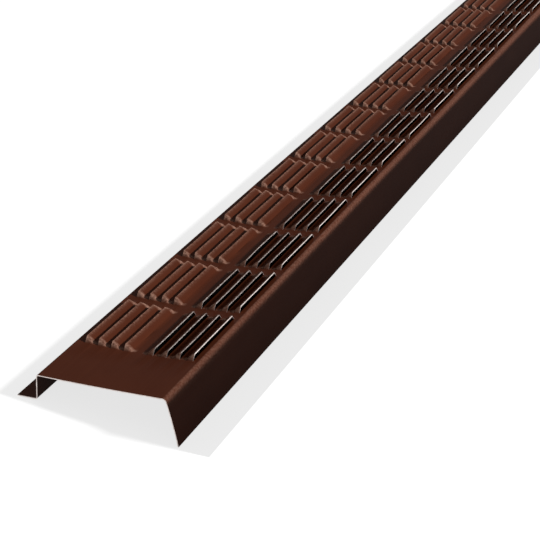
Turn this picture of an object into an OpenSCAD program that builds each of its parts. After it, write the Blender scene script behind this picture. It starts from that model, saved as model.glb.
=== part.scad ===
// Continuous soffit vent: one strip of thin painted sheet, roll formed to a stepped channel and
// pressed with two rows of louvers. Lengths are in millimetres, angles in degrees.
// X runs across the strip, Y along it, Z up. It lies louvers up on the edges of its two legs.

/* [Strip] */
// Length of the strip
strip_len = 2438.4; // [200:0.1:3700]
// Thickness of the sheet
sheet_t = 0.48; // [0.4:0.01:0.7]
// Width of the louvered face over its outer corners
face_w = 66.7; // [66:0.1:90]

/* [Nailing leg] */
// Drop from the top of the face to the top of the nailing leg
step_drop = 12.7; // [8:0.1:20]
// Outward lean of the step between them
step_lean = 6.7; // [0:0.1:20]
// Width of the nailing leg on top
nail_leg_w = 10.4; // [6:0.1:30]

/* [Down leg] */
// Height of the down leg along its outer side
down_leg_h = 24.3; // [22:0.1:30]
// Outward lean of the down leg just below the face
down_lean_top = 13; // [6:0.5:16]
// Outward lean of the down leg at its lower edge
down_lean_edge = 8; // [4:0.5:16]

/* [Bends] */
// Middle radius of the bend between the face and the down leg
down_bend_r = 2; // [1.5:0.1:3]
// Middle radius of the two bends of the step
step_bend_r = 1; // [0.8:0.1:2]

/* [Louvers] */
// Length of a louver at the face
louver_len = 45.3; // [30:0.1:48]
// Distance from one louver group to the next along the strip
group_pitch = 50.8; // [50:0.1:80]
// Plain length before the first group
end_plain = 34.8; // [10:0.1:60]
// Louvers side by side in each row
louvers_in_row = 4; // [1:1:4]
// Distance from one louver to the next across the strip
louver_pitch = 6.95; // [6:0.05:7]
// Width of a louver at the face, from its slit to where its blade bends up
louver_w = 3.6; // [3:0.1:4.5]
// Rise of a louver's open edge above the face
louver_rise = 3; // [2:0.1:4]
// Outward bulge of a louver's blade at its middle
blade_bulge = 0.25; // [0:0.05:0.5]
// Length of the sloping end of a louver
louver_end = 2.6; // [2:0.1:6]
// From the face's outer corner above the step to the nearest louver's slit
step_side_margin = 5.3; // [4:0.1:7]
// From the face's outer corner above the down leg to the nearest louver's slit
down_side_margin = 4.2; // [3.6:0.1:6]

/* [Hidden] */
paint = [0.25, 0.12, 0.08];
// Short flats that make up each bend, the curled down leg and the louver's bulged blade
bend_flats = 6;
leg_flats = 4;
blade_flats = 3;
half_t = sheet_t / 2;
// Headings of the sheet's middle line, walked from the nailing leg's free edge to the down leg's
step_dir = 90 - step_lean;
down_dir = down_lean_top - 90;
edge_dir = down_lean_edge - 90;
step_setback = step_bend_r * tan(step_dir / 2);
down_setback = down_bend_r * tan(-down_dir / 2);
step_miter = half_t * tan(step_dir / 2);
down_miter = half_t * tan(-down_dir / 2);
nail_flat = nail_leg_w + step_miter - step_setback;
step_flat = step_drop / sin(step_dir) - 2 * step_setback;
face_flat = face_w - step_miter - down_miter - step_setback - down_setback;
down_flat = down_leg_h - down_miter - down_setback;

// A bend as short flats, each with its length and heading
function bend(h0, h1, r) = [for (i = [0 : bend_flats - 1])
    [2 * r * sin(abs(h1 - h0) / (2 * bend_flats)), h0 + (h1 - h0) * (i + 0.5) / bend_flats]];

flats = concat(
    [[nail_flat, 0]],
    bend(0, step_dir, step_bend_r),
    [[step_flat, step_dir]],
    bend(step_dir, 0, step_bend_r),
    [[face_flat, 0]],
    bend(0, down_dir, down_bend_r),
    [for (i = [0 : leg_flats - 1])
        [down_flat / leg_flats, down_dir + (edge_dir - down_dir) * (i + 0.5) / leg_flats]]);
n_flats = len(flats);

function step_of(f) = f[0] * [cos(f[1]), sin(f[1])];
walked = [for (i = 0, p = [0, 0]; i <= n_flats;
    p = i < n_flats ? p + step_of(flats[i]) : p, i = i + 1) p];

// The middle line, moved so that the face's top is at zero and its corner above the step at zero
face_start = walked[2 * bend_flats + 2];
middle = [for (p = walked) p - face_start + [step_setback + step_miter, -half_t]];

// One side of the sheet, a distance d from the middle line
function heading(i) = flats[min(max(i, 0), n_flats - 1)][1];
function side_of(d) = [for (i = [0 : n_flats])
    let (a = heading(i - 1), b = heading(i))
    middle[i] + d / cos((b - a) / 2) * [-sin((a + b) / 2), cos((a + b) / 2)]];
upper = side_of(half_t);
lower = side_of(-half_t);
section = concat(upper, [for (i = [n_flats : -1 : 0]) lower[i]]);

// At rest the strip stands on the lower corner of each free edge
foot_a = lower[0];
foot_b = lower[n_flats];
rest_tilt = atan2(foot_a[1] - foot_b[1], foot_b[0] - foot_a[0]);
function rested(p) = [p[0] * cos(rest_tilt) - p[1] * sin(rest_tilt),
                      p[0] * sin(rest_tilt) + p[1] * cos(rest_tilt)];
rest_x = [for (p = section) rested(p)[0]];
rest_mid_x = (min(rest_x) + max(rest_x)) / 2;
rest_low = rested(foot_a)[1];

// Louver groups that fit with a plain far end
groups = floor((strip_len - 1.6 * end_plain + group_pitch - louver_len) / group_pitch);

// A louver seen from the end: its blade rises from the face to an open edge above the slit at
// zero, and it opens towards minus X. The inner side is the same blade a sheet thickness in.
blade_out = [louver_rise, louver_w] / norm([louver_rise, louver_w]);
blade = [for (k = [0 : blade_flats])
    let (s = k / blade_flats)
    [louver_w * (1 - s), louver_rise * s] + blade_bulge * sin(180 * s) * blade_out];
function flat_dir(k) = let (d = blade[k + 1] - blade[k]) atan2(d[1], d[0]);
function blade_dir(k) = flat_dir(min(max(k, 0), blade_flats - 1));
under_blade = [for (k = [0 : blade_flats])
    let (a = blade_dir(k - 1), b = blade_dir(k))
    blade[k] + sheet_t / cos((b - a) / 2) * [-sin((a + b) / 2), cos((a + b) / 2)]];
below = sheet_t + 0.5;
first_in = under_blade[0] - (under_blade[0][1] + below) / sin(blade_dir(0))
    * [cos(blade_dir(0)), sin(blade_dir(0))];
last_in = under_blade[blade_flats] + 0.6 * [cos(blade_dir(blade_flats)), sin(blade_dir(blade_flats))];
outer_shape = concat([[0, -half_t], [louver_w, -half_t]], blade);
inner_shape = concat([[0, -below], first_in],
    [for (k = [1 : blade_flats]) under_blade[k]], [last_in, [0, 0]]);

// A louver seen from the side: sloping ends, the inner ones a sheet thickness in
end_slope = atan2(louver_rise, louver_end);
end_in = sheet_t / sin(end_slope);
over = 1.3;
outer_side = [[0, -half_t], [louver_len, -half_t], [louver_len, 0],
    [louver_len - over * louver_end, over * louver_rise], [over * louver_end, over * louver_rise],
    [0, 0]];
inner_side = [[end_in - below / tan(end_slope), -below],
    [louver_len - end_in + below / tan(end_slope), -below],
    [louver_len - end_in - over * louver_end, over * louver_rise],
    [end_in + over * louver_end, over * louver_rise]];

module along(length) rotate([90, 0, 0]) translate([0, 0, -length]) linear_extrude(length)
    children();
module across(x0, width) translate([x0, 0, 0]) rotate([90, 0, 90]) linear_extrude(width)
    children();

module louver_outside() intersection() {
    along(louver_len) polygon(outer_shape);
    across(-1, louver_w + 2) polygon(outer_side);
}
module louver_inside() intersection() {
    translate([0, -1, 0]) along(louver_len + 2) polygon(inner_shape);
    across(-1, louver_w + 2) polygon(inner_side);
}

// Places its children at every louver; the two rows open away from each other
module at_louvers() for (g = [0 : groups - 1], k = [0 : louvers_in_row - 1])
    translate([0, end_plain + g * group_pitch, 0]) {
        translate([step_side_margin + k * louver_pitch, 0, 0]) children();
        translate([face_w - down_side_margin - k * louver_pitch, 0, 0]) mirror([1, 0, 0])
            children();
    }

module vent_strip() color(paint)
    translate([-rest_mid_x, -strip_len / 2, -rest_low]) rotate([0, -rest_tilt, 0])
        difference() {
            union() {
                along(strip_len) polygon(section);
                at_louvers() louver_outside();
            }
            at_louvers() louver_inside();
        }

vent_strip();
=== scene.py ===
"""Looks for the continuous soffit vent: the painted sheet with its pressed louvers, floor, light, camera."""
import math

import bpy
import numpy as np
from mathutils import Euler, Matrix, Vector


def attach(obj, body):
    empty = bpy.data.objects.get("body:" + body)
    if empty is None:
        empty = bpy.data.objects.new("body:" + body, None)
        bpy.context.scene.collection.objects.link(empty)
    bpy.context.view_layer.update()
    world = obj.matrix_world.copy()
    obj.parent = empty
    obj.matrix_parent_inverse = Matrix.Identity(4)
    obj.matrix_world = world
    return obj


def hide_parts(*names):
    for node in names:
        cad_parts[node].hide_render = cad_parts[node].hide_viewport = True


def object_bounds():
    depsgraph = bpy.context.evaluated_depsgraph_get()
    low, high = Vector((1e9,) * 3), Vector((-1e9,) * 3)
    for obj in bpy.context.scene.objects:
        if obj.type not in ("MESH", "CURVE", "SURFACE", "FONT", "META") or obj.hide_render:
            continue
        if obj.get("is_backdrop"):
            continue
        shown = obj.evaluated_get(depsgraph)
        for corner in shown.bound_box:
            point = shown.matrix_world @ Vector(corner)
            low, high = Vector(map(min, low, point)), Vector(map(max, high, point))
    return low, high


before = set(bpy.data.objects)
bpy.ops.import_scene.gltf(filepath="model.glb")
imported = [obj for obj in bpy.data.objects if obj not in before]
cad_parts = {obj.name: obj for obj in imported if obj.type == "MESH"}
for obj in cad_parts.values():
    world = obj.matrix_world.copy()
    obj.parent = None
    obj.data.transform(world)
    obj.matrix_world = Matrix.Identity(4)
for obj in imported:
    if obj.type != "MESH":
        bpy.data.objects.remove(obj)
CAD_LOW, CAD_HIGH = (list(corner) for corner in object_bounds())

# Sizes in millimetres, the construction's own apart from BULGE, which is rounder here
LENGTH = 2438.4
SHEET = 0.48
FACE_W = 66.7
STEP_DROP, STEP_LEAN, NAIL_W = 12.7, 6.7, 10.4
DOWN_H, DOWN_LEAN_TOP, DOWN_LEAN_EDGE = 24.3, 13.0, 8.0
DOWN_R, STEP_R = 2.0, 1.0
LOUVER_LEN, PITCH, END_PLAIN = 45.3, 50.8, 34.8
ROW, LOUVER_PITCH, LOUVER_W, RISE, BULGE = 4, 6.95, 3.6, 3.0, 0.45
STEP_MARGIN, DOWN_MARGIN = 5.3, 4.2
GROUPS = 47
SAG = 1.4          # the thin face dishes this much along its middle
HALF = SHEET / 2

rng = np.random.default_rng(7)


def tan(a):
    return math.tan(math.radians(a))


def sin(a):
    return math.sin(math.radians(a))


def cos(a):
    return math.cos(math.radians(a))


# Section's middle line
def bend(h0, h1, r, n):
    return [(2 * r * sin(abs(h1 - h0) / (2 * n)), h0 + (h1 - h0) * (i + 0.5) / n) for i in range(n)]


STEP_DIR, DOWN_DIR, EDGE_DIR = 90 - STEP_LEAN, DOWN_LEAN_TOP - 90, DOWN_LEAN_EDGE - 90
STEP_BACK, DOWN_BACK = STEP_R * tan(STEP_DIR / 2), DOWN_R * tan(-DOWN_DIR / 2)
STEP_MITER, DOWN_MITER = HALF * tan(STEP_DIR / 2), HALF * tan(-DOWN_DIR / 2)


def walk(start, steps):
    points = [np.array(start, float)]
    for length, heading in steps:
        points.append(points[-1] + length * np.array([cos(heading), sin(heading)]))
    return np.array(points)


BENDS = 6
face_x0 = STEP_BACK + STEP_MITER
face_x1 = FACE_W - DOWN_MITER - DOWN_BACK
nail_flat = NAIL_W + STEP_MITER - STEP_BACK
step_flat = STEP_DROP / sin(STEP_DIR) - 2 * STEP_BACK
down_flat = DOWN_H - DOWN_MITER - DOWN_BACK
left_steps = ([(nail_flat, 0)] + bend(0, STEP_DIR, STEP_R, BENDS) + [(step_flat, STEP_DIR)]
              + bend(STEP_DIR, 0, STEP_R, BENDS))
left = walk((0, 0), left_steps)
left += np.array([face_x0, -HALF]) - left[-1]
LEG_FLATS = 6
right_steps = bend(0, DOWN_DIR, DOWN_R, BENDS) + [
    (down_flat / LEG_FLATS, DOWN_DIR + (EDGE_DIR - DOWN_DIR) * (i + 0.5) / LEG_FLATS)
    for i in range(LEG_FLATS)]
right = walk((face_x1, -HALF), right_steps)

# at rest the strip stands on the lower corners of its two free edges
h0, h1 = 0.0, right_steps[-1][1]
foot_a = left[0] + HALF * np.array([sin(h0), -cos(h0)])
foot_b = right[-1] + HALF * np.array([sin(h1), -cos(h1)])
TILT = math.atan2(foot_a[1] - foot_b[1], foot_b[0] - foot_a[0])
CT, ST = math.cos(TILT), math.sin(TILT)


def rest_xz(x, z):
    return x * CT - z * ST, x * ST + z * CT


tips = [p + s * HALF * np.array([-sin(h), cos(h)]) for p, h in ((left[0], h0), (right[-1], h1)) for s in (-1, 1)]
MID_X = (min(rest_xz(*p)[0] for p in tips) + max(rest_xz(*p)[0] for p in tips)) / 2
LOW_Z = rest_xz(*foot_a)[1]

# Columns across the sheet
# each: x, z on the middle line, and for a louver column (row, louver, share from slit to hinge)
columns = [dict(x=p[0], z=p[1], face=False) for p in left[:-1]]


def face_col(x, **more):
    columns.append(dict(x=x, z=-HALF, face=True, **more))


def blade(s):
    """A blade's section: distance from its slit and height, s from 0 at its open edge to 1 at its foot."""
    bulge = BULGE * sin(180 * s) / math.hypot(RISE, LOUVER_W)
    foot = 0.25 * max(0.0, s - 0.8) / 0.2
    return (LOUVER_W * s + RISE * bulge + foot ** 2 * 2, (RISE * (1 - s) + LOUVER_W * bulge) / RISE)


BLADE = (0.0, 0.08, 0.25, 0.45, 0.65, 0.85, 1.0)
face_col(face_x0)
face_col(2.6)
for k in range(ROW):
    slit = STEP_MARGIN + k * LOUVER_PITCH
    face_col(slit, cut=True)
    for s in BLADE:
        face_col(slit + blade(s)[0], louver=(0, k), up=blade(s)[1], free=1 - s)
for x in np.linspace(STEP_MARGIN + 3 * LOUVER_PITCH + LOUVER_W,
                     FACE_W - DOWN_MARGIN - 3 * LOUVER_PITCH - LOUVER_W, 4)[1:-1]:
    face_col(x)
for k in reversed(range(ROW)):
    slit = FACE_W - DOWN_MARGIN - k * LOUVER_PITCH
    for s in reversed(BLADE):
        face_col(slit - blade(s)[0], louver=(1, k), up=blade(s)[1], free=1 - s)
    columns[-1]["cut"] = True
    face_col(slit)
face_col(face_x1)
columns += [dict(x=p[0], z=p[1], face=False) for p in right[1:]]
NC = len(columns)
cx = np.array([c["x"] for c in columns])
cz = np.array([c["z"] for c in columns])
on_face = np.array([c["face"] for c in columns])
open_after = np.array([c.get("cut", False) for c in columns])   # no sheet between this column and the next

# Rows along the sheet
RAMP = ((0.0, 0.0), (0.45, 0.10), (1.3, 0.45), (2.2, 0.84), (2.75, 0.97), (3.6, 1.0))
NEAR = 14
rows = [(0.0, -1, 0.0), (9.0, -1, 0.0), (21.0, -1, 0.0)]
for g in range(GROUPS):
    y0 = END_PLAIN + g * PITCH
    ramp = RAMP if g < NEAR else (RAMP[0], RAMP[2], RAMP[5])
    middle = np.linspace(RAMP[-1][0], LOUVER_LEN - RAMP[-1][0], 6 if g < NEAR else 2)[1:-1]
    rows += [(y0 + a, g, b) for a, b in ramp] + [(y0 + m, g, 1.0) for m in middle]
    rows += [(y0 + LOUVER_LEN - a, g, b) for a, b in reversed(ramp)]
rows += [(LENGTH - 8.0, -1, 0.0), (LENGTH, -1, 0.0)]
NR = len(rows)
ry = np.array([r[0] for r in rows])


# Middle surface
def soft_min(a, b, k):
    h = np.clip(0.5 + 0.5 * (b - a) / k, 0, 1)
    return b + (a - b) * h - k * h * (1 - h)


def dish(x, y):
    """The face sinks along its middle between its stiff bends, less at the two cut ends."""
    u = (x - FACE_W / 2) / (FACE_W / 2)
    end = np.minimum(y, LENGTH - y)
    grown = np.clip(end / 45.0, 0, 1)
    return -SAG * (0.25 + 0.75 * grown * grown * (3 - 2 * grown)) * np.clip(1 - u * u, 0, 1)


CREASE_X, CREASE = 15.85, 0.12
x = np.tile(cx, (NR, 1))
z = np.tile(cz, (NR, 1))
y = np.tile(ry[:, None], (1, NC))
z[:, on_face] += dish(x[:, on_face], y[:, on_face])
rise_of = rng.normal(1.0, 0.03, (GROUPS, 2, ROW))
shift_of = rng.normal(0.0, 0.10, (GROUPS, 2, ROW))
wave_of = rng.uniform(0, 2 * math.pi, (GROUPS, 2, ROW))
bulge_of = rng.normal(0.0, 0.12, (GROUPS, 2, ROW))
thin_paint_and_highlight = np.zeros((NR, NC))
# Lighter paint along the down bend: a painted highlight band along the bend, also paint whitened by the bending
for j in range(NC):
    if not on_face[j] and cx[j] > FACE_W / 2 and cz[j] > -DOWN_R * 1.2:
        thin_paint_and_highlight[:, j] = 0.10
for i, (yy, g, ramp) in enumerate(rows):
    if ramp == 0.0:
        crease = np.abs(cx - CREASE_X) < 0.01
        z[i, crease] -= CREASE
    if g < 0:
        continue
    v = (yy - END_PLAIN - g * PITCH) / LOUVER_LEN
    for j, c in enumerate(columns):
        if "louver" not in c:
            continue
        side, k = c["louver"]
        h = min(RISE, RISE * rise_of[g, side, k] - 0.1)
        up = soft_min(c["up"] * h, ramp * h * 1.04, 0.35 * min(1, ramp * 3)) if ramp > 0 else 0.0
        up = max(up, 0.0)
        z[i, j] += up
        sign = 1 if side == 0 else -1
        wavy = 0.10 * math.sin(wave_of[g, side, k] + 5.0 * v) + bulge_of[g, side, k] * math.sin(math.pi * v)
        x[i, j] += sign * (shift_of[g, side, k] + wavy) * c["free"] * ramp
        # Lighter paint on the louvers' end ramps and along their raised free edges: paint thinned by the
        # pressing, and painted highlights where they catch the light
        cap = math.exp(-((ramp - 0.65) / 0.35) ** 2) if 0 < ramp < 1 else 0.0
        thin_paint_and_highlight[i, j] = 0.45 * cap + 0.30 * c["free"] ** 6 * min(1, ramp * 2)

# Faces, welded where nothing is cut
index = np.arange(NR * NC).reshape(NR, NC)
mid = np.stack([x, y, z], -1).reshape(-1, 3)
keys = np.round(mid * 1e4).astype(np.int64)
_, first, inverse = np.unique(keys, axis=0, return_index=True, return_inverse=True)
inverse = inverse.reshape(-1)
mid = mid[first]
thin_paint_and_highlight = thin_paint_and_highlight.reshape(-1)[first]
index = inverse[index]
quads = []
for j in range(NC - 1):
    if open_after[j]:
        continue
    q = np.stack([index[:-1, j], index[:-1, j + 1], index[1:, j + 1], index[1:, j]], -1)
    quads.append(q)
quads = np.concatenate(quads)
good = np.array([len(set(q)) == 4 for q in quads])
quads = quads[good]

# Thickness
a, b, c, d = (mid[quads[:, k]] for k in range(4))
normal = np.cross(c - a, d - b)
vertex_normal = np.zeros_like(mid)
length = np.linalg.norm(normal, axis=1, keepdims=True)
unit = normal / np.maximum(length, 1e-12)
for k in range(4):
    p, prv, nxt = mid[quads[:, k]], mid[quads[:, k - 1]], mid[quads[:, (k + 1) % 4]]
    e1, e2 = prv - p, nxt - p
    ang = np.arccos(np.clip((e1 * e2).sum(1) / (np.linalg.norm(e1, axis=1) * np.linalg.norm(e2, axis=1) + 1e-12), -1, 1))
    np.add.at(vertex_normal, quads[:, k], unit * ang[:, None])
vertex_normal /= np.maximum(np.linalg.norm(vertex_normal, axis=1, keepdims=True), 1e-12)
upper = mid + HALF * vertex_normal
lower = mid - HALF * vertex_normal
n = len(mid)
edges = {}
for q in quads:
    for k in range(4):
        e = (int(q[k]), int(q[(k + 1) % 4]))
        edges[e] = edges.get(e, 0) + 1
rim = [e for e in edges if (e[1], e[0]) not in edges]
verts = np.concatenate([upper, lower])
faces = quads.tolist() + (quads[:, ::-1] + n).tolist()
slots = [0] * len(faces)
end_y = (0.0, LENGTH)
for p, q in rim:
    faces.append([q, p, p + n, q + n])
    along = abs(mid[p][1] - mid[q][1]) > 1e-6
    long_edge = along and (abs(mid[p][0] - left[0][0]) < 1e-3 or abs(mid[p][0] - right[-1][0]) < 1e-3)
    slots.append(0 if long_edge else 1)
rx, rz = rest_xz(verts[:, 0], verts[:, 2])
placed = np.stack([rx - MID_X, verts[:, 1] - LENGTH / 2, rz - LOW_Z], -1) / 1000
mesh = bpy.data.meshes.new("vent_sheet")
mesh.from_pydata(placed.tolist(), [], faces)
mesh.polygons.foreach_set("material_index", slots)
mesh.update()
print("triangles", sum(len(f) - 2 for f in faces))
uv = mesh.uv_layers.new(name="sheet")
loop_vertex = np.zeros(len(mesh.loops), np.int32)
mesh.loops.foreach_get("vertex_index", loop_vertex)
flat = np.concatenate([mid, mid])[loop_vertex][:, :2] / 1000
uv.data.foreach_set("uv", flat.astype(np.float32).ravel())
# the lighter-paint mask: thin drawn paint, and painted highlights on the bend, the end ramps and the free edges
lightened = mesh.attributes.new("thin_paint_and_highlight", "FLOAT", "POINT")
lightened.data.foreach_set("value", np.concatenate([thin_paint_and_highlight, thin_paint_and_highlight * 0]).astype(np.float32))
mesh.shade_smooth()
mesh.set_sharp_from_angle(angle=math.radians(50))
sheet = bpy.data.objects.new("vent_sheet", mesh)
bpy.context.scene.collection.objects.link(sheet)
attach(sheet, "root")
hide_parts("vent_strip")


# Materials
def srgb(r, g, b):
    def lin(v):
        v /= 255
        return v / 12.92 if v <= 0.04045 else ((v + 0.055) / 1.055) ** 2.4
    return lin(r), lin(g), lin(b), 1.0


def material(name):
    m = bpy.data.materials.new(name)
    m.use_nodes = True
    nodes = m.node_tree.nodes
    return m, nodes, m.node_tree.links, nodes["Principled BSDF"]


def mix(nodes, links, factor, a, b):
    node = nodes.new("ShaderNodeMix")
    node.data_type = "RGBA"
    if isinstance(factor, float):
        node.inputs["Factor"].default_value = factor
    else:
        links.new(factor, node.inputs["Factor"])
    for value, socket in ((a, node.inputs[6]), (b, node.inputs[7])):
        if isinstance(value, tuple):
            socket.default_value = value
        else:
            links.new(value, socket)
    return node.outputs[2]


def grey(v):
    return v, v, v, 1.0


def noise(nodes, links, vector, scale, detail):
    node = nodes.new("ShaderNodeTexNoise")
    node.inputs["Scale"].default_value = scale
    node.inputs["Detail"].default_value = detail
    links.new(vector, node.inputs["Vector"])
    return node.outputs["Fac"]


def map_range(nodes, links, value, low_in, high_in, low_out, high_out):
    node = nodes.new("ShaderNodeMapRange")
    for name, number in (("From Min", low_in), ("From Max", high_in), ("To Min", low_out), ("To Max", high_out)):
        node.inputs[name].default_value = number
    links.new(value, node.inputs["Value"])
    return node.outputs["Result"]


def multiply(nodes, links, a, b):
    node = nodes.new("ShaderNodeMath")
    node.operation = "MULTIPLY"
    for value, socket in ((a, node.inputs[0]), (b, node.inputs[1])):
        if isinstance(value, float):
            socket.default_value = value
        else:
            links.new(value, socket)
    return node.outputs["Value"]


def painted():
    """Brown baked paint: faint clouds, roller streaks along the strip, and lighter paint where it is drawn thin,
    which also paints highlights on the down bend, the louver end ramps and their free edges.
    """
    m, nodes, links, shader = material("brown_baked_paint")
    uvn = nodes.new("ShaderNodeUVMap")
    uvn.uv_map = "sheet"
    place = nodes.new("ShaderNodeTexCoord").outputs["Object"]
    streak_map = nodes.new("ShaderNodeMapping")
    streak_map.inputs["Scale"].default_value = (900, 12, 1)
    links.new(uvn.outputs["UV"], streak_map.inputs["Vector"])
    streak = noise(nodes, links, streak_map.outputs["Vector"], 1.0, 4.0)
    cloud = map_range(nodes, links, noise(nodes, links, place, 35.0, 3.0), 0.3, 0.7, 0.0, 1.0)
    paint = mix(nodes, links, cloud, srgb(62, 27, 14), srgb(69, 32, 18))
    paint = mix(nodes, links, map_range(nodes, links, streak, 0.45, 0.75, 0.0, 0.25), paint, srgb(78, 40, 25))
    thin_paint_and_highlight = nodes.new("ShaderNodeAttribute")
    thin_paint_and_highlight.attribute_name = "thin_paint_and_highlight"
    chips = map_range(nodes, links, noise(nodes, links, place, 900.0, 3.0), 0.3, 0.7, 0.25, 1.6)
    lightened = multiply(nodes, links, thin_paint_and_highlight.outputs["Fac"], chips)
    # pale paint where the mask is set: thin stretched paint, and painted highlights
    paint = mix(nodes, links, lightened, paint, srgb(176, 138, 120))
    links.new(paint, shader.inputs["Base Color"])
    links.new(map_range(nodes, links, streak, 0.0, 1.0, 0.34, 0.5), shader.inputs["Roughness"])
    shader.inputs["Specular IOR Level"].default_value = 0.0
    shader.inputs["Coat Weight"].default_value = 0.07
    shader.inputs["Coat Roughness"].default_value = 0.32
    bump = nodes.new("ShaderNodeBump")
    bump.inputs["Strength"].default_value = 0.12
    bump.inputs["Distance"].default_value = 0.00005
    links.new(noise(nodes, links, place, 1600.0, 1.0), bump.inputs["Height"])
    links.new(bump.outputs["Normal"], shader.inputs["Normal"])
    return m


def bare():
    m, nodes, links, shader = material("bare_cut_aluminium")
    shader.inputs["Metallic"].default_value = 1.0
    tex = nodes.new("ShaderNodeTexCoord")
    noise = nodes.new("ShaderNodeTexNoise")
    noise.inputs["Scale"].default_value = 700.0
    noise.inputs["Detail"].default_value = 3.0
    links.new(tex.outputs["Object"], noise.inputs["Vector"])
    ramp = nodes.new("ShaderNodeValToRGB")
    ramp.color_ramp.elements[0].position, ramp.color_ramp.elements[1].position = 0.3, 0.7
    ramp.color_ramp.elements[0].color = srgb(190, 176, 170)
    ramp.color_ramp.elements[1].color = srgb(225, 215, 210)
    links.new(noise.outputs["Fac"], ramp.inputs["Fac"])
    links.new(ramp.outputs["Color"], shader.inputs["Base Color"])
    rough = nodes.new("ShaderNodeMapRange")
    rough.inputs["To Min"].default_value, rough.inputs["To Max"].default_value = 0.3, 0.5
    links.new(noise.outputs["Fac"], rough.inputs["Value"])
    links.new(rough.outputs["Result"], shader.inputs["Roughness"])
    return m


mesh.materials.append(painted())
mesh.materials.append(bare())

# Floor, light, camera
def seen_directly(nodes, links):
    """1 for camera, mirror and see-through rays, so the white ground shows in them too; else 0."""
    path = nodes.new("ShaderNodeLightPath")
    total = path.outputs["Is Camera Ray"]
    for other in ("Is Glossy Ray", "Is Transmission Ray"):
        add = nodes.new("ShaderNodeMath")
        add.operation = "ADD"
        add.use_clamp = True
        links.new(total, add.inputs[0])
        links.new(path.outputs[other], add.inputs[1])
        total = add.outputs["Value"]
    return total


def channel_shade_mask(nodes, links):
    """1 on the ground well inside the strip's channel, where shade is painted on the ground, 0 outside it."""
    place = nodes.new("ShaderNodeTexCoord")
    split = nodes.new("ShaderNodeSeparateXYZ")
    links.new(place.outputs["Object"], split.inputs["Vector"])
    parts = []
    for axis, edge, fade in (("X", CAD_HIGH[0] - 0.004, 0.004), ("Y", CAD_HIGH[1] - CHANNEL_CLEAR, 0.03)):
        size = nodes.new("ShaderNodeMath")
        size.operation = "ABSOLUTE"
        links.new(split.outputs[axis], size.inputs[0])
        step = nodes.new("ShaderNodeMapRange")
        step.interpolation_type = "SMOOTHSTEP"
        step.inputs["From Min"].default_value = edge
        step.inputs["From Max"].default_value = edge - fade
        links.new(size.outputs["Value"], step.inputs["Value"])
        parts.append(step.outputs["Result"])
    both = nodes.new("ShaderNodeMath")
    both.operation = "MULTIPLY"
    links.new(parts[0], both.inputs[0])
    links.new(parts[1], both.inputs[1])
    return both.outputs["Value"]


def pale_floor():
    """White ground that keeps the strip's shadow; the channel under the strip is painted dark as shade."""
    m, nodes, links, shader = material("pale_floor")
    shader.inputs["Roughness"].default_value = 0.95
    shader.inputs["Specular IOR Level"].default_value = 0.0
    seen = seen_directly(nodes, links)
    ground = mix(nodes, links, seen, grey(FLOOR_BOUNCE), grey(FLOOR_TONE))
    painted_channel_shade = channel_shade_mask(nodes, links)
    # near-black ground and no lift inside the channel: painted shade under the strip, so the louver openings
    # read black
    links.new(mix(nodes, links, painted_channel_shade, ground, grey(0.004)), shader.inputs["Base Color"])
    links.new(mix(nodes, links, painted_channel_shade, mix(nodes, links, seen, grey(0.0), grey(FLOOR_LIFT)), grey(0.0)),
              shader.inputs["Emission Color"])
    shader.inputs["Emission Strength"].default_value = 1.0
    return m


CHANNEL_CLEAR = 0.028     # the ground stays pale this far in from each cut end, in metres; further in, the channel is painted shade
FLOOR_BOUNCE = 0.25       # what the ground throws back on the strip
FLOOR_TONE = 0.32         # what shows of it, with its shadow
FLOOR_LIFT = 0.76
bpy.ops.mesh.primitive_plane_add(size=30, location=(0, 0, 0))
floor = bpy.context.object
floor.name = "floor"
floor.data.materials.append(pale_floor())
floor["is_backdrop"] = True

world = bpy.data.worlds.new("studio")
bpy.context.scene.world = world
world.use_nodes = True
sky = world.node_tree
links, nodes = sky.links, sky.nodes
links.new(mix(nodes, links, seen_directly(nodes, links), grey(0.24), grey(1.0)),
          nodes["Background"].inputs["Color"])

KEY_FROM = Vector((0.80, 0.12, 0.56))
key_data = bpy.data.lights.new("key", "SUN")
key_data.energy = 4.7
key_data.angle = math.radians(7)
key = bpy.data.objects.new("key", key_data)
key.rotation_euler = (-KEY_FROM).to_track_quat("-Z", "Y").to_euler()
bpy.context.scene.collection.objects.link(key)


def flag():
    """A studio flag beside the strip: it shades the down leg, more at the near end, and is not seen itself."""
    out, ground = CAD_HIGH[0] + 0.015, 0.0
    near, far = CAD_LOW[1], CAD_HIGH[1]
    slope = KEY_FROM.z / KEY_FROM.x
    top_near = CAD_HIGH[2] - 0.004 + slope * 0.022
    top_far = top_near - 0.009
    shape = bpy.data.meshes.new("flag")
    shape.from_pydata([(out, near, ground), (out, far, ground), (out, far, top_far), (out, near, top_near)],
                      [], [(0, 1, 2, 3)])
    board = bpy.data.objects.new("flag", shape)
    bpy.context.scene.collection.objects.link(board)
    for ray in ("camera", "diffuse", "glossy", "transmission"):
        setattr(board, "visible_" + ray, False)
    black, nodes, links, shader = material("flag_black")
    shader.inputs["Base Color"].default_value = grey(0.02)
    shape.materials.append(black)
    board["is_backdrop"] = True


flag()

cam_data = bpy.data.cameras.new("camera")
cam_data.lens = 95.867
cam_data.sensor_width = 36
cam_data.clip_start, cam_data.clip_end = 0.02, 50
camera = bpy.data.objects.new("camera", cam_data)
camera.location = (0.26809, -1.69269, 0.37469)
camera.rotation_euler = Euler([math.radians(v) for v in (61.6375, -3.9444, 23.9174)], "XYZ")
bpy.context.scene.collection.objects.link(camera)
bpy.context.scene.camera = camera
bpy.context.scene.view_settings.view_transform = "Standard"
